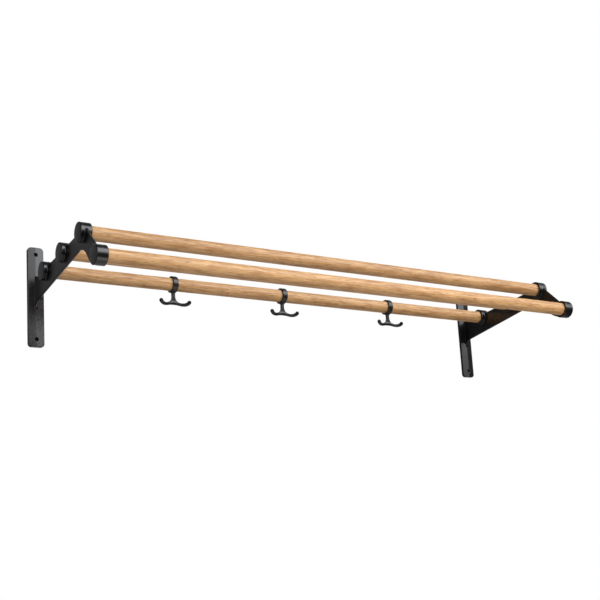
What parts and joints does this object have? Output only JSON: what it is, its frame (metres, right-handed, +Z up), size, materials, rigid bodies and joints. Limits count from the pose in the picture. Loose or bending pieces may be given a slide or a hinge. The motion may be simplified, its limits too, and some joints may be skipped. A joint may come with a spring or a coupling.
{
  "type": "hat shelf",
  "caption": "Wall hat shelf: cast black end brackets with sockets that carry round oak rods in a rising row, a lower front rod, and pronged coat hooks that slide along the rear rod.",
  "frame": {"origin": "on the wall, midway between the brackets, at half the height of their plates", "axes": "+X along the rods towards the right bracket, +Y into the wall, so the shelf stands out towards -Y, +Z up"},
  "size_m": [1, 0.3227, 0.1802],
  "materials": {
    "bracket_coating": "satin black powder coat on a casting",
    "rod_oak": "clear satin lacquer on light oak",
    "hook_coating": "satin black powder coat on a casting"
  },
  "bodies": {
    "frame": {"bracket_left": "bracket_coating", "bracket_right": "bracket_coating", "rod_rear": "rod_oak", "rod_middle": "rod_oak", "rod_top": "rod_oak", "rod_front": "rod_oak"},
    "left_hook": {"hook_left": "hook_coating"},
    "centre_hook": {"hook_centre": "hook_coating"},
    "right_hook": {"hook_right": "hook_coating"}
  },
  "joints": [
    {"name": "hook_left_slide", "type": "slide", "parent": "frame", "child": "left_hook", "axis": [1, 0, 0], "range_m": [-0.2035, 0.0835]},
    {"name": "hook_centre_slide", "type": "slide", "parent": "frame", "child": "centre_hook", "axis": [1, 0, 0], "range_m": [-0.0835, 0.0934]},
    {"name": "hook_right_slide", "type": "slide", "parent": "frame", "child": "right_hook", "axis": [1, 0, 0], "range_m": [-0.0934, 0.217]}
  ]
}
